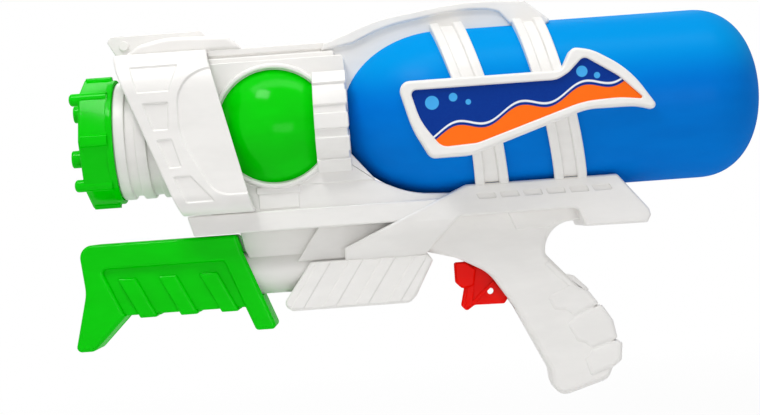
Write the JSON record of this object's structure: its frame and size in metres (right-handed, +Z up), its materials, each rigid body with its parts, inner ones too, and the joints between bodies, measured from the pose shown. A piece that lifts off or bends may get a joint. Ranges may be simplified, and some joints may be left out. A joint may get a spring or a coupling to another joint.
{
  "type": "pump action water squirter",
  "caption": "Toy water squirter with a large round-ended tank, ribbed muzzle with jets in an eight-sided cap, sliding pump handle under the barrel and a trigger grip.",
  "frame": {"origin": "middle of the pistol grip, where a hand closes on it", "axes": "+X from the muzzle to the tank's rear end, +Y to the right-hand side, +Z up"},
  "size_m": [0.4414, 0.121, 0.2509],
  "materials": {
    "white_plastic": "satin moulded",
    "green_plastic": "glossy moulded",
    "blue_plastic": "satin blow moulded",
    "red_plastic": "glossy moulded",
    "label_print": "printed film",
    "grey_plastic": "plain moulded",
    "black_rubber": "moulded",
    "hose_plastic": "soft tube",
    "steel": "plated"
  },
  "bodies": {
    "housing": {"left_housing": "white_plastic", "right_housing": "white_plastic", "left_front_shroud": "white_plastic", "right_front_shroud": "white_plastic", "left_tank_strap": "white_plastic", "right_tank_strap": "white_plastic", "muzzle_chamber": "white_plastic", "pump_cylinder": "white_plastic", "left_ball_dome": "green_plastic", "right_ball_dome": "green_plastic", "water_tank": "blue_plastic", "left_label": "label_print", "right_label": "label_print", "delivery_pipe": "grey_plastic", "filler_duct": "grey_plastic", "pump_gland": "grey_plastic", "pump_plug": "grey_plastic", "valve_body": "grey_plastic", "air_hose": "hose_plastic", "supply_hose": "hose_plastic", "delivery_hose": "hose_plastic", "trigger_pin": "steel", "valve_spring": "steel", "housing_screw_grip_base": "steel", "housing_screw_rail": "steel", "housing_screw_guard_front": "steel", "housing_screw_guard_rear": "steel", "housing_screw_beam": "steel", "housing_screw_arch": "steel"},
    "pump": {"left_pump_handle": "green_plastic", "right_pump_handle": "green_plastic", "piston_rod": "steel", "piston": "grey_plastic", "piston_ring": "black_rubber", "handle_screw_front": "steel", "handle_screw_rear": "steel"},
    "trigger": {"trigger": "red_plastic"},
    "plunger": {"valve_plunger": "grey_plastic"},
    "cap_carrier": {"nozzle_manifold": "grey_plastic", "cap_seal": "black_rubber"},
    "cap": {"nozzle_cap": "green_plastic"}
  },
  "joints": [
    {"name": "pump_slide", "type": "slide", "parent": "housing", "child": "pump", "axis": [-1, 0, 0], "range_m": [0, 0.07]},
    {"name": "trigger_pull", "type": "hinge", "parent": "housing", "child": "trigger", "pos_m": [-0.048, 0, 0.056], "axis": [0, -1, 0], "range_deg": [0, 10], "stiffness_Nm_per_rad": 0.5, "springref_deg": -5.73},
    {"name": "valve_slide", "type": "slide", "parent": "housing", "child": "plunger", "axis": [1, 0, 0], "range_m": [0, 0.0045], "deforming": ["valve_spring"]},
    {"name": "cap_advance", "type": "slide", "parent": "housing", "child": "cap_carrier", "axis": [-1, 0, 0], "range_m": [0, 0.006]},
    {"name": "cap_turn", "type": "hinge", "parent": "cap_carrier", "child": "cap", "pos_m": [-0.281, 0, 0.1337], "axis": [-1, 0, 0], "range_deg": [0, 540]}
  ],
  "couplings": [
    {"joint": "valve_slide", "follows": "trigger_pull", "m_per_rad": 0.0245},
    {"joint": "cap_advance", "follows": "cap_turn", "m_per_rad": 0.000636}
  ]
}
